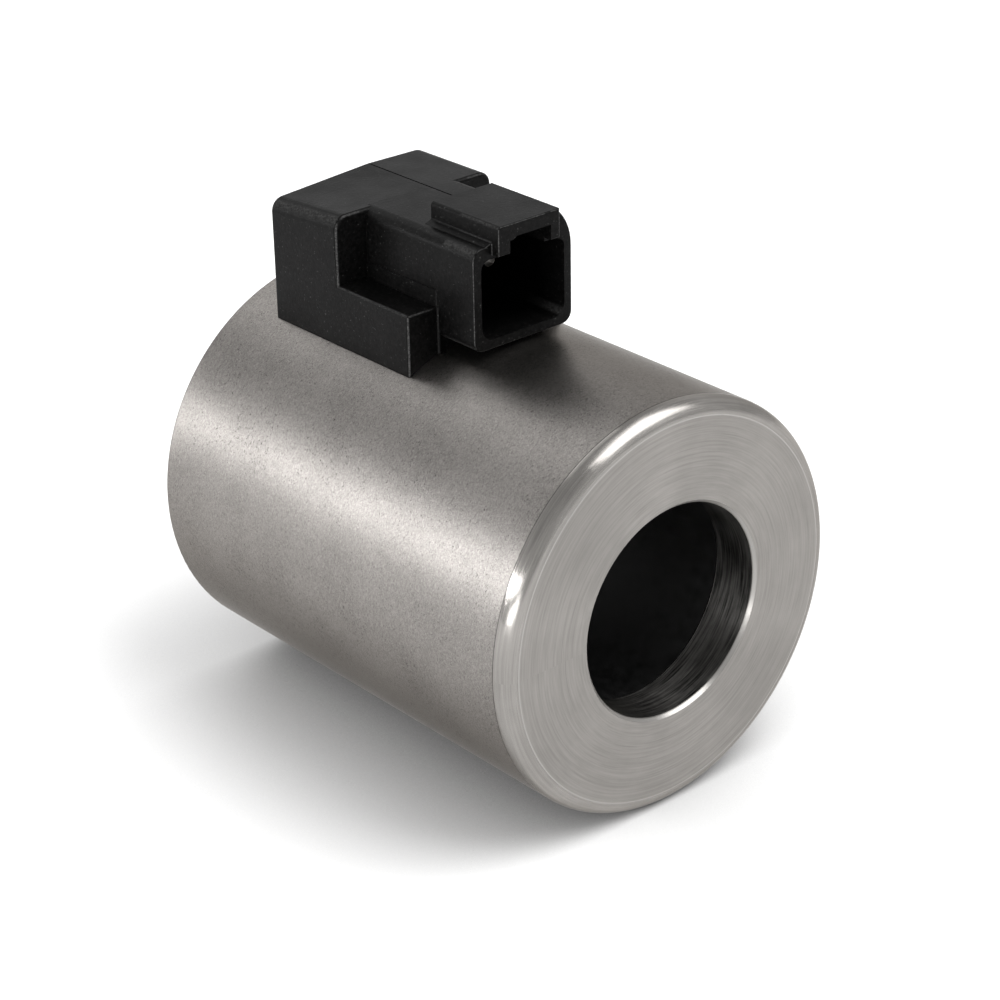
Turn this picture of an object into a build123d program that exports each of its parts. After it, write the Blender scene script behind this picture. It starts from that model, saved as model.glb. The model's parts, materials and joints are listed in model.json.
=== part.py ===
from build123d import *
import os

# Solenoid valve coil with a sealed two-pin plug socket.
# The bore lies along Y and its middle is the origin. The front face looks to -Y, the seating
# face to +Y, and the socket stands on top, to +Z.

# Steel case
case_diameter = 45.0
case_wall = 2.5
length = 56.5
rear_edge_round = 0.35
window_width = 17.0
window_length = 18.0
window_middle_y = 11.0
window_corner = 2.0

# End plates
bore_diameter = 23.2
bore_chamfer = 0.37
front_plate_depth = 5.8
front_rim = 1.9
front_edge_round = 1.75
rear_plate_depth = 5.0
spigot_chamfer = 0.4
seal_section = 2.4
seal_lip = 0.6
seal_pocket_clearance = 0.05
seal_edge = 0.5

# Bobbin and winding
bobbin_wall = 1.5
bobbin_clearance = 0.2
flange_thickness = 1.6
flange_gap = 1.0
winding_margin = 1.45
tape_thickness = 0.3
wire_slot_width = 1.8
wire_slot_depth = 1.25
tape_opening = 3.0

# Fits
press_gap = 0.05
slot_gap = 0.1

# How close two places are to count as the same one
near = 0.001

# Leads and contacts
lead_diameter = 0.7
sleeve_diameter = 1.4
sleeve_end_gap = 0.8
solder_length = 0.6
lead_bend = 0.5
lead_rise = 0.95
finish_lead_y = 8.0
start_lead_bend = 1.0
start_lead_depth = 1.0
pin_pitch = 5.6
pin_diameter = 1.5
pin_nose = 0.5
pin_collar_diameter = 2.4
pin_collar_length = 0.8
pin_reach = 7.0
pin_tail = 1.2
strip_thickness = 0.8
strip_width = 2.0
strip_bend = 0.9
strip_rear_y = 16.0
strip_foot = 0.6

# Socket moulding
block_width = 21.2
block_height = 11.7
block_rear_y = 22.3
step_y = 11.1
block_top_round = 1.5
rear_left_fall = 0.9
rear_right_fall = 0.1
block_edge_round = 0.4
ledge_height = 4.15
ledge_front_y = -0.27
ledge_edge_round = 0.35
cove = 1.0
band_height = 1.8
band_depth = 0.1
front_cove = 0.35
cove_tuck = 0.04
shroud_width = 13.3
shroud_gap = 0.55
shroud_round = 1.3
mouth_y = -6.0
mouth_edge_round = 0.2
rim_start = 0.2
cavity_wall = 1.05
cavity_height = 8.7
cavity_depth = 15.0
cavity_bottom_round = 1.5
cavity_top_round = 1.1
ramp_rise = 0.32
ramp_margin = 0.35
hood_width = 8.25
hood_height = 2.15
hood_lip = 1.0
hood_front_y = -7.05
hood_rear_y = 3.4
hood_left_round = 0.4
hood_right_round = 0.8
hood_edge_round = 0.2
hood_foot_fillet = 0.2
cheek_drop = 2.6
cheek_round = 5.5
cheek_angle = 49
key_width = 5.5
key_shift = 0.15
key_roof = 1.45
key_rear_y = 2.4
key_corner_width = 0.9
key_corner_height = 0.3
neck_gap = 0.1
plug_gap = 0.55
chamber_width = 10.0
chamber_length = 13.0
chamber_roof = 1.0
parting_x = 2.5
parting_width = 0.18
parting_depth = 0.1

case_radius = case_diameter / 2
case_inside = case_radius - case_wall
bore_radius = bore_diameter / 2
front_y = -length / 2
rear_y = length / 2
bobbin_front_y = front_y + front_plate_depth
bobbin_rear_y = rear_y - rear_plate_depth
core_bore = bore_radius + bobbin_clearance
core_radius = core_bore + bobbin_wall
flange_radius = case_inside - flange_gap
flange_front_y = bobbin_front_y + flange_thickness
flange_rear_y = bobbin_rear_y - flange_thickness
winding_radius = flange_radius - winding_margin
tape_radius = winding_radius + tape_thickness
lead_z = tape_radius + lead_rise
seal_inner_radius = bore_radius + seal_lip
shroud_bottom = case_radius + shroud_gap
cavity_bottom = shroud_bottom + cavity_wall
cavity_top = cavity_bottom + cavity_height
pin_z = cavity_bottom + cavity_height / 2
floor_y = mouth_y + cavity_depth
pin_tip_y = floor_y - pin_reach
strip_front_y = floor_y + pin_collar_length + pin_tail
strip_bottom = lead_z - strip_foot
plug_bottom = lead_z + sleeve_diameter / 2 + plug_gap
shroud_half = shroud_width / 2
block_half = block_width / 2
block_top = case_radius + block_height
ledge_top = case_radius + ledge_height
band_half = shroud_half + band_depth
band_top = ledge_top + band_height
hood_half = hood_width / 2
hood_top = block_top + hood_height
hood_bottom = block_top - hood_lip
key_top = hood_top - key_roof
cheek_foot = block_top - cheek_drop
key_left = key_shift - key_width / 2
key_right = key_shift + key_width / 2
ramp_half = shroud_half - shroud_round - ramp_margin

os.makedirs("parts", exist_ok=True)

# Drawn tube with one rounded window on top, where the socket's neck goes in.
with BuildPart() as outer_shell:
    with BuildSketch(Plane.XY):
        with BuildLine():
            Polyline(
                (case_inside, front_y + front_rim),
                (case_radius, front_y + front_rim),
                (case_radius, rear_y),
                (case_inside, rear_y),
                close=True,
            )
        make_face()
    revolve(axis=Axis.Y)
    outer_rim = outer_shell.edges().filter_by(GeomType.CIRCLE).group_by(Axis.Y)[-1]
    fillet(outer_rim.sort_by(SortBy.RADIUS)[-1], rear_edge_round)
    with BuildSketch(Plane.XY):
        with Locations((0, window_middle_y)):
            RectangleRounded(window_width, window_length, window_corner)
    extrude(amount=case_diameter, mode=Mode.SUBTRACT)
outer_shell.part.label = "outer_shell"
export_step(outer_shell.part, "parts/outer_shell.step")

# Turned front plate: a full-width rim with a rounded edge, and a spigot inside the tube.
with BuildPart() as front_end_plate:
    with BuildSketch(Plane.XY):
        with BuildLine():
            Polyline(
                (bore_radius, front_y),
                (case_radius, front_y),
                (case_radius, front_y + front_rim),
                (case_inside - press_gap, front_y + front_rim),
                (case_inside - press_gap, bobbin_front_y),
                (bore_radius, bobbin_front_y),
                close=True,
            )
        make_face()
    revolve(axis=Axis.Y)
    front_circles = front_end_plate.edges().filter_by(GeomType.CIRCLE).group_by(Axis.Y)[0]
    fillet(front_circles.sort_by(SortBy.RADIUS)[-1], front_edge_round)
    bore_edges = front_end_plate.edges().filter_by(GeomType.CIRCLE).sort_by(Axis.Y)
    chamfer([e for e in bore_edges if abs(e.radius - bore_radius) < near], bore_chamfer)
    spigot_edge = front_end_plate.edges().filter_by(GeomType.CIRCLE).group_by(Axis.Y)[-1]
    chamfer(spigot_edge.sort_by(SortBy.RADIUS)[-1], spigot_chamfer)
front_end_plate.part.label = "front_end_plate"
export_step(front_end_plate.part, "parts/front_end_plate.step")

# Rear plate pressed into the tube, flush with its end, with a pocket for the seal ring.
seal_pocket_radius = seal_inner_radius + seal_section + seal_pocket_clearance
seal_pocket_depth = seal_section + seal_pocket_clearance
with BuildPart() as rear_end_plate:
    with BuildSketch(Plane.XY):
        with BuildLine():
            Polyline(
                (bore_radius, bobbin_rear_y),
                (case_inside - press_gap, bobbin_rear_y),
                (case_inside - press_gap, rear_y),
                (seal_pocket_radius, rear_y),
                (seal_pocket_radius, rear_y - seal_pocket_depth),
                (bore_radius, rear_y - seal_pocket_depth),
                close=True,
            )
        make_face()
    revolve(axis=Axis.Y)
    plate_circles = rear_end_plate.edges().filter_by(GeomType.CIRCLE)
    chamfer([e for e in plate_circles if abs(e.radius - bore_radius) < near], bore_chamfer)
    inner_edge = rear_end_plate.edges().filter_by(GeomType.CIRCLE).group_by(Axis.Y)[0]
    chamfer(inner_edge.sort_by(SortBy.RADIUS)[-1], spigot_chamfer)
rear_end_plate.part.label = "rear_end_plate"
export_step(rear_end_plate.part, "parts/rear_end_plate.step")

# Rubber ring that seals the coil to the valve body.
with BuildPart() as rear_seal_ring:
    with BuildSketch(Plane.XY):
        with Locations((seal_inner_radius + seal_section / 2, rear_y - seal_section / 2)):
            Rectangle(seal_section, seal_section)
        chamfer(vertices(), seal_edge)
    revolve(axis=Axis.Y)
rear_seal_ring.part.label = "rear_seal_ring"
export_step(rear_seal_ring.part, "parts/rear_seal_ring.step")

# Moulded bobbin between the two plates, with a slot in the rear flange for the inner wire end.
with BuildPart() as bobbin:
    with BuildSketch(Plane.XY):
        with BuildLine():
            Polyline(
                (core_bore, bobbin_front_y),
                (flange_radius, bobbin_front_y),
                (flange_radius, flange_front_y),
                (core_radius, flange_front_y),
                (core_radius, flange_rear_y),
                (flange_radius, flange_rear_y),
                (flange_radius, bobbin_rear_y),
                (core_bore, bobbin_rear_y),
                close=True,
            )
        make_face()
    revolve(axis=Axis.Y)
    with BuildSketch(Plane.XZ.offset(-flange_rear_y)):
        with Locations((pin_pitch / 2, core_radius)):
            Rectangle(wire_slot_width, case_inside - core_radius, align=(Align.CENTER, Align.MIN))
    extrude(amount=-wire_slot_depth, mode=Mode.SUBTRACT)
bobbin.part.label = "bobbin"
export_step(bobbin.part, "parts/bobbin.step")

# Copper winding as one closed ring between the flanges.
with BuildPart() as winding:
    with BuildSketch(Plane.XY):
        with BuildLine():
            Polyline(
                (core_radius + press_gap, flange_front_y + press_gap),
                (winding_radius, flange_front_y + press_gap),
                (winding_radius, flange_rear_y - press_gap),
                (core_radius + press_gap, flange_rear_y - press_gap),
                close=True,
            )
        make_face()
    revolve(axis=Axis.Y)
winding.part.label = "winding"
export_step(winding.part, "parts/winding.step")

# Tape round the winding, open where the outer wire end comes out.
with BuildPart() as winding_tape:
    with BuildSketch(Plane.XZ.offset(-flange_front_y - press_gap)):
        Circle(tape_radius)
        Circle(winding_radius, mode=Mode.SUBTRACT)
    extrude(amount=-(flange_rear_y - flange_front_y - 2 * press_gap))
    with BuildSketch(Plane.XY):
        with Locations((-pin_pitch / 2, finish_lead_y)):
            Rectangle(tape_opening, tape_opening)
    extrude(amount=case_inside, mode=Mode.SUBTRACT)
winding_tape.part.label = "winding_tape"
export_step(winding_tape.part, "parts/winding_tape.step")

# Resin between the tape and the tube, left open round the socket's neck and the inner wire.
with BuildPart() as encapsulation:
    with BuildSketch(Plane.XY):
        with BuildLine():
            Polyline(
                (flange_radius + press_gap, bobbin_front_y + press_gap),
                (case_inside - press_gap, bobbin_front_y + press_gap),
                (case_inside - press_gap, bobbin_rear_y - press_gap),
                (flange_radius + press_gap, bobbin_rear_y - press_gap),
                (flange_radius + press_gap, flange_rear_y - press_gap),
                (tape_radius + press_gap, flange_rear_y - press_gap),
                (tape_radius + press_gap, flange_front_y + press_gap),
                (flange_radius + press_gap, flange_front_y + press_gap),
                close=True,
            )
        make_face()
    revolve(axis=Axis.Y)
    with BuildSketch(Plane.XY):
        with Locations((0, window_middle_y)):
            RectangleRounded(window_width, window_length, window_corner)
        with Locations((pin_pitch / 2, window_middle_y + window_length / 2)):
            Rectangle(
                sleeve_diameter + 2 * slot_gap,
                2 * (flange_rear_y + wire_slot_depth - window_middle_y - window_length / 2),
            )
    extrude(amount=case_radius, mode=Mode.SUBTRACT)
encapsulation.part.label = "encapsulation"
export_step(encapsulation.part, "parts/encapsulation.step")

# Outer wire end: out of the top layer, then back to the foot of its contact strip.
with BuildPart() as finish_lead:
    lead_x = -pin_pitch / 2
    top_layer_z = (winding_radius**2 - lead_x**2) ** 0.5 + press_gap
    with BuildLine() as finish_path:
        FilletPolyline(
            (lead_x, finish_lead_y, top_layer_z),
            (lead_x, finish_lead_y, lead_z),
            (lead_x, strip_rear_y - strip_thickness, lead_z),
            radius=lead_bend,
        )
    with BuildSketch(Plane((lead_x, finish_lead_y, top_layer_z), z_dir=(0, 0, 1))):
        Circle(lead_diameter / 2)
    sweep(path=finish_path.wires()[0])
finish_lead.part.label = "finish_lead"
export_step(finish_lead.part, "parts/finish_lead.step")

# Inner wire end: up the slot in the rear flange, then forward to its own contact strip.
with BuildPart() as start_lead:
    lead_x = pin_pitch / 2
    slot_y = flange_rear_y + wire_slot_depth / 2
    inner_z = core_radius + start_lead_depth
    with BuildLine() as start_path:
        FilletPolyline(
            (lead_x, slot_y, inner_z),
            (lead_x, slot_y, lead_z),
            (lead_x, strip_rear_y, lead_z),
            radius=start_lead_bend,
        )
    with BuildSketch(Plane((lead_x, slot_y, inner_z), z_dir=(0, 0, 1))):
        Circle(lead_diameter / 2)
    sweep(path=start_path.wires()[0])
start_lead.part.label = "start_lead"
export_step(start_lead.part, "parts/start_lead.step")

# Insulating sleeves on the straight runs of the two leads.
sleeve_runs = {
    "finish_lead_sleeve": (-pin_pitch / 2, finish_lead_y, strip_rear_y - strip_thickness),
    "start_lead_sleeve": (pin_pitch / 2, strip_rear_y, flange_rear_y),
}
for sleeve_name, (sleeve_x, sleeve_from, sleeve_to) in sleeve_runs.items():
    with BuildPart() as lead_sleeve:
        with BuildSketch(Plane.XZ.offset(-sleeve_from - sleeve_end_gap)):
            with Locations((sleeve_x, lead_z)):
                Circle(sleeve_diameter / 2)
                Circle(lead_diameter / 2, mode=Mode.SUBTRACT)
        extrude(amount=-(sleeve_to - sleeve_from - 2 * sleeve_end_gap))
    lead_sleeve.part.label = sleeve_name
    export_step(lead_sleeve.part, f"parts/{sleeve_name}.step")

# Solder at the two joints between lead and strip.
solder_faces = {
    "finish_solder_joint": (-pin_pitch / 2, strip_rear_y - strip_thickness, -1),
    "start_solder_joint": (pin_pitch / 2, strip_rear_y, 1),
}
for solder_name, (solder_x, face_y, away) in solder_faces.items():
    with BuildPart() as solder_joint:
        with BuildSketch(Plane.XY.offset(lead_z)):
            with BuildLine():
                Polyline(
                    (solder_x + lead_diameter / 2, face_y),
                    (solder_x + strip_foot, face_y),
                    (solder_x + lead_diameter / 2, face_y + away * solder_length),
                    close=True,
                )
            make_face()
        revolve(axis=Axis((solder_x, face_y, lead_z), (0, 1, 0)))
    solder_joint.part.label = solder_name
    export_step(solder_joint.part, f"parts/{solder_name}.step")

# Bent contact strips inside the moulding, one behind each pin.
for side, side_name in ((-1, "left"), (1, "right")):
    with BuildPart() as contact_strip:
        with BuildSketch(Plane.YZ.offset(side * pin_pitch / 2 - strip_width / 2)):
            with BuildLine():
                Polyline(
                    (strip_front_y, pin_z - strip_thickness / 2),
                    (strip_rear_y - strip_thickness, pin_z - strip_thickness / 2),
                    (strip_rear_y - strip_thickness, strip_bottom),
                    (strip_rear_y, strip_bottom),
                    (strip_rear_y, pin_z + strip_thickness / 2),
                    (strip_front_y, pin_z + strip_thickness / 2),
                    close=True,
                )
            make_face()
        extrude(amount=strip_width)
        bend = contact_strip.edges().filter_by(Axis.X).sort_by(Axis.Z)[-2:]
        fillet(bend.sort_by(Axis.Y)[-1], strip_bend)
    contact_strip.part.label = f"{side_name}_contact_strip"
    export_step(contact_strip.part, f"parts/{side_name}_contact_strip.step")

    with BuildPart() as contact_pin:
        with BuildSketch(Plane.XZ.offset(-pin_tip_y)):
            with Locations((side * pin_pitch / 2, pin_z)):
                Circle(pin_diameter / 2)
        extrude(amount=-(strip_front_y - pin_tip_y))
        nose = contact_pin.edges().filter_by(GeomType.CIRCLE).sort_by(Axis.Y)[0]
        chamfer(nose, pin_nose)
        with BuildSketch(Plane.XZ.offset(-floor_y - pin_collar_length / 2)):
            with Locations((side * pin_pitch / 2, pin_z)):
                Circle(pin_collar_diameter / 2)
        extrude(amount=-pin_collar_length)
    contact_pin.part.label = f"{side_name}_pin"
    export_step(contact_pin.part, f"parts/{side_name}_pin.step")

# Socket moulding: block and side ledges on the tube, shroud with its cavity, locking hood.
with BuildPart() as connector_housing:
    # Upper block, with its long edges well rounded. Its top falls a little to the rear corners.
    for end_y, left_fall, right_fall in (
        (step_y, 0, 0),
        (block_rear_y, rear_left_fall, rear_right_fall),
    ):
        with BuildSketch(Plane.XZ.offset(-end_y)):
            with BuildLine():
                Polyline(
                    (-block_half, 0),
                    (-block_half, block_top - left_fall),
                    (parting_x, block_top),
                    (block_half, block_top - right_fall),
                    (block_half, 0),
                    close=True,
                )
            make_face()
            side_corners = [v for v in vertices() if abs(v.X) > block_half - near and v.Y > near]
            fillet(side_corners, block_top_round)
    loft()
    end_faces = connector_housing.faces().filter_by(Axis.Y)
    fillet([e for e in end_faces.edges() if e.center().Z > case_radius / 2], block_edge_round)

    # Side ledges in front of the block, with a cove and a low band up to the neck.
    with BuildSketch(Plane.XZ.offset(-ledge_front_y)):
        with BuildLine():
            Polyline(
                (-block_half, 0),
                (-block_half, ledge_top),
                (-band_half, ledge_top),
                (-band_half, band_top),
                (band_half, band_top),
                (band_half, ledge_top),
                (block_half, ledge_top),
                (block_half, 0),
                close=True,
            )
        make_face()
        ledge_corners = [v for v in vertices() if abs(v.Y - ledge_top) < near]
        fillet([v for v in ledge_corners if abs(v.X) > block_half - near], ledge_edge_round)
        fillet([v for v in ledge_corners if abs(v.X) < band_half + near], cove)
    extrude(amount=-(step_y + block_edge_round - ledge_front_y))
    front_face = connector_housing.faces().filter_by(Axis.Y).sort_by(Axis.Y)[0]
    fillet([e for e in front_face.edges() if near < e.center().Z < band_top - near], ledge_edge_round)

    # Neck behind the hood, running into the block.
    with BuildSketch(Plane.XZ.offset(-hood_rear_y)):
        with BuildLine():
            Polyline(
                (-shroud_half, shroud_bottom),
                (-shroud_half, block_top),
                (shroud_half, block_top),
                (shroud_half, shroud_bottom),
                close=True,
            )
        make_face()
        fillet(vertices(), shroud_round)
    extrude(amount=-(step_y + 2 * block_edge_round - hood_rear_y))

    # Shroud under the hood: a low ramp up to its left side and a curved cheek up to its right.
    with BuildSketch(Plane.XZ.offset(-mouth_y)):
        with BuildLine():
            cheek = CenterArc((shroud_half - cheek_round, cheek_foot), cheek_round, 0, cheek_angle)
            Polyline(
                cheek @ 1,
                (hood_half - hood_right_round / 2, hood_top - hood_right_round / 2),
                (-hood_half, block_top + ramp_rise),
                (-ramp_half, block_top),
                (-shroud_half, block_top),
                (-shroud_half, shroud_bottom),
                (shroud_half, shroud_bottom),
                cheek @ 0,
            )
        make_face()
        outer_corners = [v for v in vertices() if abs(v.X) > shroud_half - near]
        fillet([v for v in outer_corners if v.Y < pin_z or v.X < 0], shroud_round)
    extrude(amount=-(hood_rear_y - mouth_y))

    mouth_face = connector_housing.faces().filter_by(Axis.Y).sort_by(Axis.Y)[0]
    rim = [e for e in mouth_face.edges() if abs(e.center().X) > hood_half + rim_start or e.center().Z < pin_z]
    fillet(rim, mouth_edge_round)

    # Small upright coves where the shroud's sides leave the front of the ledges.
    for side in (-1, 1):
        cove_x = side * (shroud_half + front_cove - cove_tuck)
        cove_y = ledge_front_y - front_cove + cove_tuck
        with BuildSketch(Plane.XY):
            with BuildLine():
                arc = CenterArc((cove_x, cove_y), front_cove, 90, side * 90)
                Polyline(arc @ 0, ((arc @ 1).X, (arc @ 0).Y), arc @ 1)
            make_face()
        extrude(amount=ledge_top)

    # Locking hood, standing out a little in front of the mouth.
    with BuildSketch(Plane.XZ.offset(-hood_front_y)):
        with BuildLine():
            Polyline(
                (-hood_half, hood_bottom),
                (-hood_half, hood_top),
                (hood_half, hood_top),
                (hood_half, hood_bottom),
                close=True,
            )
        make_face()
        top_left, top_right = vertices().group_by(Axis.Y)[-1].sort_by(Axis.X)
        fillet(top_left, hood_left_round)
        fillet(top_right, hood_right_round)
    extrude(amount=-(hood_rear_y - hood_front_y))
    hood_face = connector_housing.faces().filter_by(Axis.Y).sort_by(Axis.Y)[0]
    fillet(hood_face.edges(), hood_edge_round)
    hood_foot = [
        e
        for e in connector_housing.edges().filter_by(Axis.Y)
        if abs(e.center().X + hood_half) < near and abs(e.center().Z - block_top - ramp_rise) < near
    ]
    hood_foot += [
        e
        for e in connector_housing.edges().filter_by(Axis.Z)
        if abs(abs(e.center().X) - hood_half) < near and abs(e.center().Y - mouth_y) < near
    ]
    fillet(hood_foot, hood_foot_fillet)

    # Seat on the tube.
    with BuildSketch(Plane.XZ.offset(-front_y)):
        Circle(case_radius + press_gap)
    extrude(amount=-length, mode=Mode.SUBTRACT)

    # Neck through the window of the tube, hollow where the strips come down.
    with BuildSketch(Plane.XY.offset(plug_bottom)):
        with Locations((0, window_middle_y)):
            RectangleRounded(
                window_width - 2 * neck_gap,
                window_length - 2 * neck_gap,
                window_corner - neck_gap,
            )
    extrude(amount=cavity_bottom - cavity_wall / 2 - plug_bottom)
    with BuildSketch(Plane.XY.offset(plug_bottom)):
        with Locations((0, window_middle_y)):
            RectangleRounded(chamber_width, chamber_length, window_corner / 2)
    extrude(amount=cavity_bottom - chamber_roof - plug_bottom, mode=Mode.SUBTRACT)

    # Cavity for the plug and the key pocket in the hood.
    with BuildSketch(Plane.XZ.offset(-mouth_y)):
        with BuildLine():
            Polyline(
                (-shroud_half + cavity_wall, cavity_bottom),
                (-shroud_half + cavity_wall, cavity_top),
                (shroud_half - cavity_wall, cavity_top),
                (shroud_half - cavity_wall, cavity_bottom),
                close=True,
            )
        make_face()
        fillet(vertices().group_by(Axis.Y)[-1], cavity_top_round)
        fillet(vertices().group_by(Axis.Y)[0], cavity_bottom_round)
    extrude(amount=-cavity_depth, mode=Mode.SUBTRACT)
    with BuildSketch(Plane.XZ.offset(-hood_front_y)):
        with BuildLine():
            Polyline(
                (key_left, pin_z),
                (key_left, key_top - key_corner_height),
                (key_left + key_corner_width / 2, key_top - key_corner_height),
                (key_left + key_corner_width, key_top),
                (key_right, key_top),
                (key_right, pin_z),
                close=True,
            )
        make_face()
    extrude(amount=-(key_rear_y - hood_front_y), mode=Mode.SUBTRACT)

    # Holes for the pins and slots for the strips behind them.
    for side in (-1, 1):
        pin_x = side * pin_pitch / 2
        with BuildSketch(Plane.XZ.offset(-floor_y)):
            with Locations((pin_x, pin_z)):
                Circle(pin_diameter / 2 + press_gap)
        extrude(amount=-(strip_front_y - floor_y), mode=Mode.SUBTRACT)
        with BuildSketch(Plane.XZ.offset(-floor_y - pin_collar_length / 2)):
            with Locations((pin_x, pin_z)):
                Circle(pin_collar_diameter / 2 + press_gap)
        extrude(amount=-pin_collar_length, mode=Mode.SUBTRACT)
        with BuildSketch(Plane.YZ.offset(pin_x - strip_width / 2 - press_gap)):
            with BuildLine():
                Polyline(
                    (strip_front_y, pin_z - strip_thickness / 2 - press_gap),
                    (strip_rear_y - strip_thickness - press_gap, pin_z - strip_thickness / 2 - press_gap),
                    (strip_rear_y - strip_thickness - press_gap, plug_bottom),
                    (strip_rear_y + press_gap, plug_bottom),
                    (strip_rear_y + press_gap, pin_z + strip_thickness / 2 + press_gap),
                    (strip_front_y, pin_z + strip_thickness / 2 + press_gap),
                    close=True,
                )
            make_face()
        extrude(amount=strip_width + 2 * press_gap, mode=Mode.SUBTRACT)

    # Parting groove on the top of the block.
    with BuildSketch(Plane.XY.offset(block_top)):
        with Locations((parting_x, (block_rear_y + hood_rear_y) / 2)):
            Rectangle(parting_width, block_rear_y - hood_rear_y)
    extrude(amount=-parting_depth, mode=Mode.SUBTRACT)
connector_housing.part.label = "connector_housing"
export_step(connector_housing.part, "parts/connector_housing.step")
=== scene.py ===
import json
import math
import bpy
from mathutils import Matrix, Quaternion, Vector


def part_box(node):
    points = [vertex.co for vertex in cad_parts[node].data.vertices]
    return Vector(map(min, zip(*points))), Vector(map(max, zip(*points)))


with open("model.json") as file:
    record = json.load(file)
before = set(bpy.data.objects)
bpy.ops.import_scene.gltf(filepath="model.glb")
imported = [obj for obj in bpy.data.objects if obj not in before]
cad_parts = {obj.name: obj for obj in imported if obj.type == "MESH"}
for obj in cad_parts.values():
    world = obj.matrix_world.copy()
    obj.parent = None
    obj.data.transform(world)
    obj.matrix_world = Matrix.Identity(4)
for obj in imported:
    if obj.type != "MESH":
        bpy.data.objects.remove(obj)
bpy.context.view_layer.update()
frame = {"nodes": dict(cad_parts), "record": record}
nodes = frame["nodes"]
tubeLow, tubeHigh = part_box("outer_shell")
plateLow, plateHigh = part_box("front_end_plate")
print("frame loaded,", len(nodes), "pieces")


# shader helpers
def newMaterial(name):
    mat = bpy.data.materials.new(name)
    mat.use_nodes = True
    return mat, mat.node_tree, mat.node_tree.nodes["Principled BSDF"]


def feed(tree, socket, value):
    # a plain number is set, anything else is another node's output
    if isinstance(value, (int, float)):
        socket.default_value = value
    else:
        tree.links.new(value, socket)


def combine(tree, mode, a, b=0):
    node = tree.nodes.new("ShaderNodeMath")
    node.operation = mode
    feed(tree, node.inputs[0], a)
    feed(tree, node.inputs[1], b)
    return node.outputs["Value"]


def mixShares(tree, a, b, shareB):
    restA = combine(tree, "MULTIPLY", a, 1 - shareB)
    return combine(tree, "ADD", restA, combine(tree, "MULTIPLY", b, shareB))


def spread(tree, value, low, high, fromLow=0.3, fromHigh=0.7):
    # most of a noise lies between 0.3 and 0.7
    node = tree.nodes.new("ShaderNodeMapRange")
    for name, number in (("From Min", fromLow), ("From Max", fromHigh), ("To Min", low), ("To Max", high)):
        node.inputs[name].default_value = number
    tree.links.new(value, node.inputs["Value"])
    return node.outputs["Result"]


def noise(tree, vector, scale, detail=4, rough=0.6, curl=0):
    node = tree.nodes.new("ShaderNodeTexNoise")
    for name, number in (("Scale", scale), ("Detail", detail), ("Roughness", rough), ("Distortion", curl)):
        node.inputs[name].default_value = number
    tree.links.new(vector, node.inputs["Vector"])
    return node.outputs["Fac"]


def ramp(tree, value, stops):
    node = tree.nodes.new("ShaderNodeValToRGB")
    first, last = node.color_ramp.elements
    first.position, first.color = stops[0][0], (*stops[0][1], 1)
    last.position, last.color = stops[-1][0], (*stops[-1][1], 1)
    for place, colour in stops[1:-1]:
        extra = node.color_ramp.elements.new(place)
        extra.color = (*colour, 1)
    tree.links.new(value, node.inputs["Fac"])
    return node.outputs["Color"]


def blend(tree, factor, below, above):
    node = tree.nodes.new("ShaderNodeMix")
    node.data_type = "RGBA"
    tree.links.new(factor, node.inputs["Factor"])
    for socket, colour in ((node.inputs[6], below), (node.inputs[7], above)):  # A and B of the colours
        if isinstance(colour, tuple):
            socket.default_value = (*colour, 1)
        else:
            tree.links.new(colour, socket)
    return node.outputs[2]


def bump(tree, height, strength, distance):
    node = tree.nodes.new("ShaderNodeBump")
    node.inputs["Strength"].default_value = strength
    node.inputs["Distance"].default_value = distance
    tree.links.new(height, node.inputs["Height"])
    return node.outputs["Normal"]


def objectCoords(tree):
    return tree.nodes.new("ShaderNodeTexCoord").outputs["Object"]


def split3(tree, vector):
    node = tree.nodes.new("ShaderNodeSeparateXYZ")
    tree.links.new(vector, node.inputs["Vector"])
    return [node.outputs[axis] for axis in "XYZ"]


def join3(tree, *parts):
    node = tree.nodes.new("ShaderNodeCombineXYZ")
    for socket, part in zip(node.inputs, parts):
        feed(tree, socket, part)
    return node.outputs["Vector"]


def polar(tree):
    # radius from the bore's axis, place along it and angle round it
    x, y, z = split3(tree, objectCoords(tree))
    square = combine(tree, "ADD", combine(tree, "MULTIPLY", x, x), combine(tree, "MULTIPLY", z, z))
    return combine(tree, "SQRT", square), y, combine(tree, "ARCTAN2", z, x)


millimetres = 1000  # in a metre, for noise in millimetre space

# blasted steel of the case: fine grain drawn round the tube
caseSteel = {
    "fleck": (0.112, 0.106, 0.1005),
    "dark": (0.130, 0.1227, 0.1164),
    "light": (0.276, 0.262, 0.2485),
    "tones": (0.28, 0.36, 0.62),  # where the noise takes these three colours
    "rim": (0.55, 0.53, 0.51),  # colour seen edge on
    "roughness": (0.265, 0.325),
    "grain": (6.6, 2, 0.65, 1.4),  # scale, detail, roughness and curl
    "stretch": 0.7,  # below 1 the grain is longer round the tube than along it
    "cloud": 90,
    "cloudShare": 0.22,
    "bump": (0.5, 0.00005),
    "seam": (0.02, 0.019, 0.018),  # dark line where the tube meets the front plate
    "seamWidth": (0.000052, 0.00013),  # full up to the first, gone at the second
    "seamDepth": 0.8,
}


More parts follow.
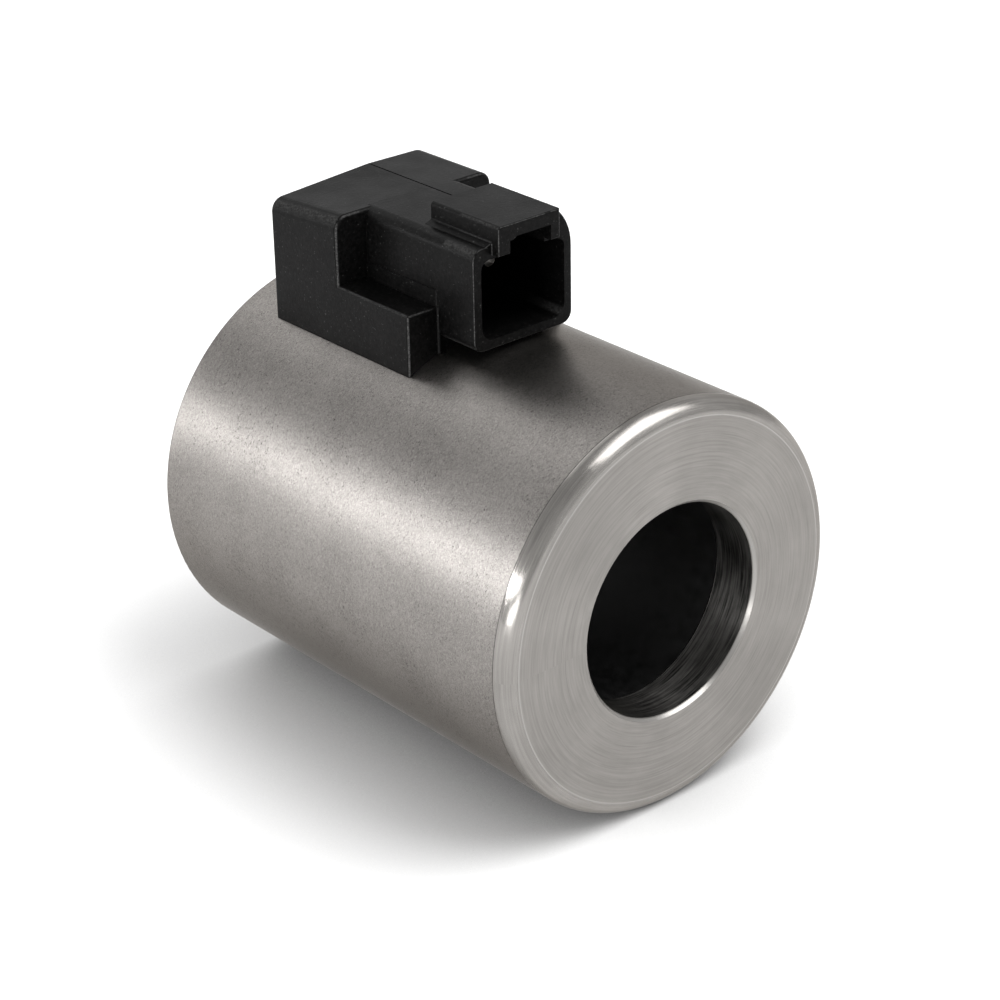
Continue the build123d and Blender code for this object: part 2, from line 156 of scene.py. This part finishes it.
def makeCaseSteel():
    mat, tree, shader = newMaterial("caseSteel")
    radius, along, angle = polar(tree)
    around = combine(tree, "MULTIPLY", angle, tubeHigh.x * millimetres * caseSteel["stretch"])
    lengthwise = combine(tree, "MULTIPLY", along, millimetres)
    outward = combine(tree, "MULTIPLY", radius, millimetres)
    fine = noise(tree, join3(tree, around, lengthwise, outward), *caseSteel["grain"])
    cloud = noise(tree, objectCoords(tree), caseSteel["cloud"])
    mixed = mixShares(tree, fine, cloud, caseSteel["cloudShare"])
    colours = (caseSteel["fleck"], caseSteel["dark"], caseSteel["light"])
    tone = ramp(tree, mixed, list(zip(caseSteel["tones"], colours)))
    full, gone = caseSteel["seamWidth"]
    seam = spread(tree, along, caseSteel["seamDepth"], 0, tubeLow.y + full, tubeLow.y + gone)
    tree.links.new(blend(tree, seam, tone, caseSteel["seam"]), shader.inputs["Base Color"])
    shader.inputs["Specular Tint"].default_value = (*caseSteel["rim"], 1)
    shader.inputs["Metallic"].default_value = 1
    tree.links.new(spread(tree, mixed, *caseSteel["roughness"]), shader.inputs["Roughness"])
    tree.links.new(bump(tree, fine, *caseSteel["bump"]), shader.inputs["Normal"])
    return mat


# turned steel of the end plates: satin face with fine rings, bright rounded rim, brushed bore; painted
# highlight rings at the edges, painted shade in the bore
turnedSteel = {
    "dark": (0.186, 0.178, 0.1685),
    "light": (0.282, 0.270, 0.2565),
    "tones": (0.34, 0.66),
    # painted shade in the bore: its darker colours and where the noise takes them
    "boreDark": (0.024, 0.0232, 0.022),
    "boreLight": (0.19, 0.184, 0.175),
    "boreTones": (0.36, 0.62),
    "boreRadius": (11.62, 11.68),  # millimetres, where the bore's colour goes over into the face's
    # colour of the painted highlight rings and lines
    "wornHighlight": (0.31, 0.30, 0.287),
    "edges": ((11.82, 0.2), (20.82, 0.1)),  # painted highlight rings: radius and half width in millimetres
    "edgeCore": 0.4,  # share of the half width that is fully bright
    "boreEnd": (0.0003, 0.00013),  # painted highlight line at the bore's inner end, metres before it
    "boreEndRadius": (12.3, 12.5),
    "rim": (0.70, 0.68, 0.66),  # colour seen edge on
    # radius in millimetres, roughness there
    "satin": ((11.0, 0.34), (11.64, 0.34), (12.1, 0.38), (20.6, 0.38), (21.0, 0.25), (23.0, 0.21)),
    "uneven": (0.75, 1.25),
    "rings": (4.5, 3, 0.65),  # scale, detail and roughness of the turning marks
    "sweep": 0.5,  # lower draws the marks further round
    "cloud": 140,
    "cloudShare": 0.35,
    "bump": (0.3, 0.000015),
    "pull": 0.82,  # anisotropy across the marks
}


def makeTurnedSteel():
    mat, tree, shader = newMaterial("turnedSteel")
    radius, along, angle = polar(tree)
    radius = combine(tree, "MULTIPLY", radius, millimetres)
    lengthwise = combine(tree, "MULTIPLY", along, millimetres)
    ringSpace = join3(tree, radius, lengthwise, combine(tree, "MULTIPLY", angle, turnedSteel["sweep"]))
    rings = noise(tree, ringSpace, *turnedSteel["rings"])
    cloud = noise(tree, objectCoords(tree), turnedSteel["cloud"])
    mixed = mixShares(tree, rings, cloud, turnedSteel["cloudShare"])
    face = ramp(tree, mixed, list(zip(turnedSteel["tones"], (turnedSteel["dark"], turnedSteel["light"]))))
    # painted highlights: bright lines where the face meets the rim and the bore, and at the bore's inner
    # end
    start, stop = (plateHigh.y - before for before in turnedSteel["boreEnd"])
    inFront = combine(tree, "LESS_THAN", along, 0)
    line = combine(tree, "MULTIPLY", spread(tree, along, 0, 1, start, stop), inFront)
    line = combine(tree, "MULTIPLY", line, spread(tree, radius, 1, 0, *turnedSteel["boreEndRadius"]))
    for middle, half in turnedSteel["edges"]:
        away = combine(tree, "ABSOLUTE", combine(tree, "SUBTRACT", radius, middle))
        core = half * turnedSteel["edgeCore"]
        line = combine(tree, "MAXIMUM", spread(tree, away, 1, 0, core, half), line)
    face = blend(tree, line, face, turnedSteel["wornHighlight"])
    # painted shade: the bore's colour is darker, with stronger turning marks
    boreColours = (turnedSteel["boreDark"], turnedSteel["boreLight"])
    shadedBore = ramp(tree, mixed, list(zip(turnedSteel["boreTones"], boreColours)))
    inBore = spread(tree, radius, 1, 0, *turnedSteel["boreRadius"])
    tree.links.new(blend(tree, inBore, face, shadedBore), shader.inputs["Base Color"])
    shader.inputs["Metallic"].default_value = 1
    shader.inputs["Specular Tint"].default_value = (*turnedSteel["rim"], 1)
    low, high = turnedSteel["satin"][0][0], turnedSteel["satin"][-1][0]
    stops = [((place - low) / (high - low), (value,) * 3) for place, value in turnedSteel["satin"]]
    satin = ramp(tree, spread(tree, radius, 0, 1, low, high), stops)
    uneven = spread(tree, mixed, *turnedSteel["uneven"])
    tree.links.new(combine(tree, "MULTIPLY", satin, uneven), shader.inputs["Roughness"])
    tree.links.new(bump(tree, rings, *turnedSteel["bump"]), shader.inputs["Normal"])
    lathe = tree.nodes.new("ShaderNodeTangent")
    lathe.direction_type = "RADIAL"
    lathe.axis = "Y"
    tree.links.new(lathe.outputs["Tangent"], shader.inputs["Tangent"])
    shader.inputs["Anisotropic"].default_value = turnedSteel["pull"]
    shader.inputs["Anisotropic Rotation"].default_value = 0.25  # a quarter turn
    return mat


# black glass-filled nylon of the socket, with lighter rounded edges, partly wear and partly a painted
# highlight, and painted shade deep inside
blackNylon = {
    "dark": (0.0012, 0.0012, 0.0012),
    "light": (0.0048, 0.0046, 0.0046),
    "tones": (0.4, 0.72),
    "glass": (0.034, 0.034, 0.033),  # fine pale specks
    "glassRange": (0.66, 0.74),  # of their noise
    "wornHighlight": (0.058, 0.0575, 0.057),  # rubbed edges, lighter: partly wear, partly a painted highlight
    "wearHighlight": (1.0, 0.55, 0.4),  # on upright, cross and lengthwise edges
    "wearHighlightRange": (0.36, 0.48),  # product of two parts of the normal
    "rubLow": 0.25,  # least wear on an edge, as a share
    "rubRange": (0.42, 0.6),
    "roughness": (0.31, 0.43),
    "wornRoughness": 0.22,
    "skin": (2600, 4, 0.7),  # scale, detail and roughness of each noise
    "fibre": (3600, 2, 0.6),
    "rub": (4200, 3, 0.7),
    "cloud": 160,
    "bump": (0.3, 0.00006),
    "gloss": 0.05,
    # places in metres
    "parting": (0.0025, 0.00036, 0.0004),  # the line, and where the dark beside it fades
    "cove": (0.0071, -0.0009, 0.0004),  # hollows beside the shroud: half width, front and fade
    "coveWearHighlight": 0.15,
    "inside": (0.0057, 0.0240, 0.0330),  # painted shade inside the socket: half width, underside and top
    "insideDepth": (-0.0058, -0.0020, 0.0092),  # where its shade begins and is full, and its back
    "insideTone": 0.2,
}


# lighter rounded edges: partly wear, partly a painted highlight where the rounds catch light
def wornHighlitEdges(tree, x, y):
    # on a rounded edge two parts of the normal are alike
    coords = tree.nodes.new("ShaderNodeTexCoord")
    flat = [combine(tree, "ABSOLUTE", part) for part in split3(tree, coords.outputs["Normal"])]
    edge = 0
    for (a, b), strength in zip(((0, 1), (1, 2), (0, 2)), blackNylon["wearHighlight"]):
        alike = combine(tree, "MULTIPLY", flat[a], flat[b])
        edge = combine(tree, "MAXIMUM", spread(tree, alike, 0, strength, *blackNylon["wearHighlightRange"]), edge)
    # the hollows beside the shroud get little of the lighter edge colour
    half, front, fade = blackNylon["cove"]
    outside = spread(tree, combine(tree, "ABSOLUTE", x), 0, 1, half, half + fade)
    ahead = spread(tree, y, 1, 0, front - fade, front)
    awayFromCove = combine(tree, "MAXIMUM", combine(tree, "MAXIMUM", outside, ahead), blackNylon["coveWearHighlight"])
    edge = combine(tree, "MULTIPLY", edge, awayFromCove)
    # and so does the parting line
    line, near, far = blackNylon["parting"]
    away = combine(tree, "ABSOLUTE", combine(tree, "SUBTRACT", x, line))
    edge = combine(tree, "MULTIPLY", edge, spread(tree, away, 0, 1, near, far))
    rub = noise(tree, objectCoords(tree), *blackNylon["rub"])
    broken = spread(tree, rub, blackNylon["rubLow"], 1, *blackNylon["rubRange"])
    return combine(tree, "MULTIPLY", edge, broken)


def socketShadeMask(tree, x, y, z):
    # mask of the painted shade: 1 deep in the socket, 0 outside it
    half, under, top = blackNylon["inside"]
    begin, full, back = blackNylon["insideDepth"]
    inside = spread(tree, y, 0, 1, begin, full)
    across = combine(tree, "ABSOLUTE", x)
    limits = (
        (across, "LESS_THAN", half),
        (z, "GREATER_THAN", under),
        (z, "LESS_THAN", top),
        (y, "LESS_THAN", back),
    )
    for value, test, limit in limits:
        inside = combine(tree, "MULTIPLY", inside, combine(tree, test, value, limit))
    return inside


def makeBlackNylon():
    mat, tree, shader = newMaterial("blackNylon")
    vector = objectCoords(tree)
    x, y, z = split3(tree, vector)
    skin = noise(tree, vector, *blackNylon["skin"])
    fibre = noise(tree, vector, *blackNylon["fibre"])
    cloud = noise(tree, vector, blackNylon["cloud"])
    edge = wornHighlitEdges(tree, x, y)
    tone = ramp(tree, skin, list(zip(blackNylon["tones"], (blackNylon["dark"], blackNylon["light"]))))
    tone = blend(tree, spread(tree, fibre, 0, 1, *blackNylon["glassRange"]), tone, blackNylon["glass"])
    tone = blend(tree, edge, tone, blackNylon["wornHighlight"])
    shade = tree.nodes.new("ShaderNodeVectorMath")
    shade.operation = "SCALE"
    tree.links.new(tone, shade.inputs["Vector"])
    # painted shade: the colour is darkened deep inside the socket
    depth = spread(tree, socketShadeMask(tree, x, y, z), 1, blackNylon["insideTone"], 0, 1)
    tree.links.new(depth, shade.inputs["Scale"])
    tree.links.new(shade.outputs["Vector"], shader.inputs["Base Color"])
    low, high = blackNylon["roughness"]
    shine = combine(tree, "MULTIPLY", edge, high - blackNylon["wornRoughness"])
    satin = combine(tree, "SUBTRACT", spread(tree, cloud, low, high), shine)
    tree.links.new(satin, shader.inputs["Roughness"])
    shader.inputs["Specular IOR Level"].default_value = blackNylon["gloss"]
    tree.links.new(bump(tree, skin, *blackNylon["bump"]), shader.inputs["Normal"])
    return mat


# enamelled copper wire, one turn every half millimetre, with painted shade in the grooves between turns
copperWire = {
    "groove": (0.28, 0.09, 0.03),
    "crown": (0.72, 0.30, 0.12),
    "tones": (0.0, 0.8),
    "pitch": 0.0005,
    "metal": 0.9,
    "roughness": 0.32,
    "bump": (0.6, 0.0001),
}


def makeWinding():
    mat, tree, shader = newMaterial("copperWinding")
    along = split3(tree, objectCoords(tree))[1]
    turns = combine(tree, "SINE", combine(tree, "MULTIPLY", along, 2 * math.pi / copperWire["pitch"]))
    tone = ramp(tree, turns, list(zip(copperWire["tones"], (copperWire["groove"], copperWire["crown"]))))
    tree.links.new(tone, shader.inputs["Base Color"])
    shader.inputs["Metallic"].default_value = copperWire["metal"]
    shader.inputs["Roughness"].default_value = copperWire["roughness"]
    tree.links.new(bump(tree, turns, *copperWire["bump"]), shader.inputs["Normal"])
    return mat


# finishes with a plain grain, for the pieces inside, the seal and the pins
grainyFinishes = {
    "bobbin_plastic": {
        "name": "bobbinPlastic",
        "dark": (0.001, 0.001, 0.001),
        "light": (0.003, 0.003, 0.003),
        "roughness": (0.35, 0.5),
        "metal": 0.0,
        "scale": 900,
    },
    "seal_rubber": {
        "name": "sealRubber",
        "dark": (0.008, 0.008, 0.008),
        "light": (0.018, 0.018, 0.018),
        "roughness": (0.55, 0.7),
        "metal": 0.0,
        "scale": 1500,
    },
    "amber_tape": {
        "name": "amberTape",
        "dark": (0.40, 0.20, 0.04),
        "light": (0.55, 0.31, 0.07),
        "roughness": (0.2, 0.35),
        "metal": 0.0,
        "scale": 300,
    },
    "potting_resin": {
        "name": "pottingResin",
        "dark": (0.012, 0.011, 0.010),
        "light": (0.03, 0.027, 0.024),
        "roughness": (0.45, 0.6),
        "metal": 0.0,
        "scale": 900,
    },
    "lead_sleeve": {
        "name": "leadSleeve",
        "dark": (0.50, 0.46, 0.36),
        "light": (0.66, 0.62, 0.50),
        "roughness": (0.5, 0.65),
        "metal": 0.0,
        "scale": 2500,
    },
    "solder": {
        "name": "solder",
        "dark": (0.55, 0.55, 0.56),
        "light": (0.74, 0.74, 0.75),
        "roughness": (0.2, 0.4),
        "metal": 1.0,
        "scale": 1500,
    },
    "contact_metal": {
        "name": "contactMetal",
        "dark": (0.16, 0.155, 0.145),
        "light": (0.26, 0.25, 0.235),
        "roughness": (0.48, 0.6),
        "metal": 1.0,
        "scale": 1800,
    },
}
grainyTones = (0.35, 0.68)
grainyBump = (0.3, 0.00003)


def makeGrainy(look):
    mat, tree, shader = newMaterial(look["name"])
    grain = noise(tree, objectCoords(tree), look["scale"])
    tone = ramp(tree, grain, list(zip(grainyTones, (look["dark"], look["light"]))))
    tree.links.new(tone, shader.inputs["Base Color"])
    tree.links.new(spread(tree, grain, *look["roughness"]), shader.inputs["Roughness"])
    shader.inputs["Metallic"].default_value = look["metal"]
    tree.links.new(bump(tree, grain, *grainyBump), shader.inputs["Normal"])
    return mat


materials = {
    "case_steel": makeCaseSteel(),
    "turned_steel": makeTurnedSteel(),
    "black_nylon": makeBlackNylon(),
    "copper_wire": makeWinding(),
}
for slot, look in grainyFinishes.items():
    materials[slot] = makeGrainy(look)
for entry in frame["record"]["subparts"]:
    piece = nodes[entry["node"]]
    finish = materials[entry["material_slot"]]
    if not piece.material_slots:
        piece.data.materials.append(finish)
    for holder in piece.material_slots:
        holder.material = finish
print("finishes made")

# camera, matched to the photograph's view: metres and degrees
view = {
    "place": (-0.170971, -0.200737, 0.132320),
    "azimuth": -40.666,
    "elevation": 26.238,
    "roll": -1.066,
    "lens": 98.73,
    "sensor": 36,
    "nearest": 0.01,
}
cameraData = bpy.data.cameras.new("viewCamera")
cameraData.lens = view["lens"]
cameraData.sensor_width = view["sensor"]
cameraData.clip_start = view["nearest"]
camera = bpy.data.objects.new("viewCamera", cameraData)
bpy.context.scene.collection.objects.link(camera)
turn = (
    Matrix.Rotation(math.radians(view["azimuth"]), 4, "Z")
    @ Matrix.Rotation(math.radians(90 - view["elevation"]), 4, "X")
    @ Matrix.Rotation(math.radians(view["roll"]), 4, "Z")
)
camera.matrix_world = Matrix.Translation(view["place"]) @ turn
bpy.context.scene.camera = camera
bpy.context.scene.view_settings.view_transform = "Standard"

# pale floor that keeps the shadow
ground = {
    "size": 6.0,
    "tone": 0.87,
    "lift": 0.05,  # glow for sharp rays, so that the floor goes over into the white
    "reach": 0.055,  # how far out the shadow deepens close to the coil
    "depth": 0.72,
    "samples": 8,
}
bpy.ops.object.select_all(action="DESELECT")
bpy.ops.mesh.primitive_plane_add(size=ground["size"], location=(0, 0, min(tubeLow.z, plateLow.z)))
floor = bpy.context.object
floor.name = "floor"
bpy.ops.object.transform_apply(location=True, rotation=True, scale=True)


def makeFloor():
    mat, tree, shader = newMaterial("floorWhite")
    near = tree.nodes.new("ShaderNodeAmbientOcclusion")
    near.inputs["Distance"].default_value = ground["reach"]
    near.samples = ground["samples"]
    rays = tree.nodes.new("ShaderNodeLightPath")
    seen = rays.outputs["Is Camera Ray"]
    # the shadow is deepened for the camera alone, so that the steel mirrors an even floor
    deep = combine(tree, "POWER", near.outputs["AO"], ground["depth"])
    deep = combine(tree, "MAXIMUM", deep, combine(tree, "SUBTRACT", 1, seen))
    tree.links.new(combine(tree, "MULTIPLY", deep, ground["tone"]), shader.inputs["Base Color"])
    shader.inputs["Roughness"].default_value = 1
    shader.inputs["Specular IOR Level"].default_value = 0
    shader.inputs["Emission Color"].default_value = (1, 1, 1, 1)
    sharp = combine(tree, "MAXIMUM", seen, rays.outputs["Is Glossy Ray"])
    sharp = combine(tree, "MAXIMUM", sharp, rays.outputs["Is Transmission Ray"])
    tree.links.new(combine(tree, "MULTIPLY", sharp, ground["lift"]), shader.inputs["Emission Strength"])
    return mat


floor.data.materials.append(makeFloor())

# white low down, greyer overhead; from and to are heights on a dome of radius 1
sky = {"low": 1.0, "high": 0.7, "from": 0.47, "to": 0.68}
world = bpy.data.worlds.new("studio")
bpy.context.scene.world = world
world.use_nodes = True
worldTree = world.node_tree
backdrop = worldTree.nodes["Background"]
backdrop.inputs["Color"].default_value = (1, 1, 1, 1)
heading = worldTree.nodes.new("ShaderNodeTexCoord").outputs["Generated"]
climb = split3(worldTree, heading)[2]
fade = worldTree.nodes.new("ShaderNodeMapRange")
fade.interpolation_type = "SMOOTHSTEP"
for socket, key in (("From Min", "from"), ("From Max", "to"), ("To Min", "low"), ("To Max", "high")):
    fade.inputs[socket].default_value = sky[key]
worldTree.links.new(climb, fade.inputs["Value"])
worldTree.links.new(fade.outputs["Result"], backdrop.inputs["Strength"])
print("stage set")

# lamps: direction from the coil, distance, size, power and roll in degrees
lamps = {
    "keySoft": ((0.33, -0.45, 0.80), 0.75, (0.60, 0.60), 6.2, 0),
    "leftStrip": ((-0.93, 0.24, 0.26), 0.6, (1.1, 0.085), 3.4, 6),
    "lowCard": ((-0.85, -0.53, 0.04), 0.5, (0.31, 0.06), 0.7, 0),
    "backSoft": ((0.05, 0.68, 0.73), 0.8, (0.42, 0.26), 0.6, 0),
}
for name, (direction, distance, size, power, roll) in lamps.items():  # one soft panel each
    data = bpy.data.lights.new(name, "AREA")
    data.shape = "RECTANGLE"
    data.size, data.size_y = size
    data.energy = power
    lamp = bpy.data.objects.new(name, data)
    bpy.context.scene.collection.objects.link(lamp)
    lamp.location = Vector(direction).normalized() * distance
    aim = (-lamp.location).to_track_quat("-Z", "Y")
    lamp.rotation_euler = (aim @ Quaternion((0, 0, 1), math.radians(roll))).to_euler()
print("lamps placed")
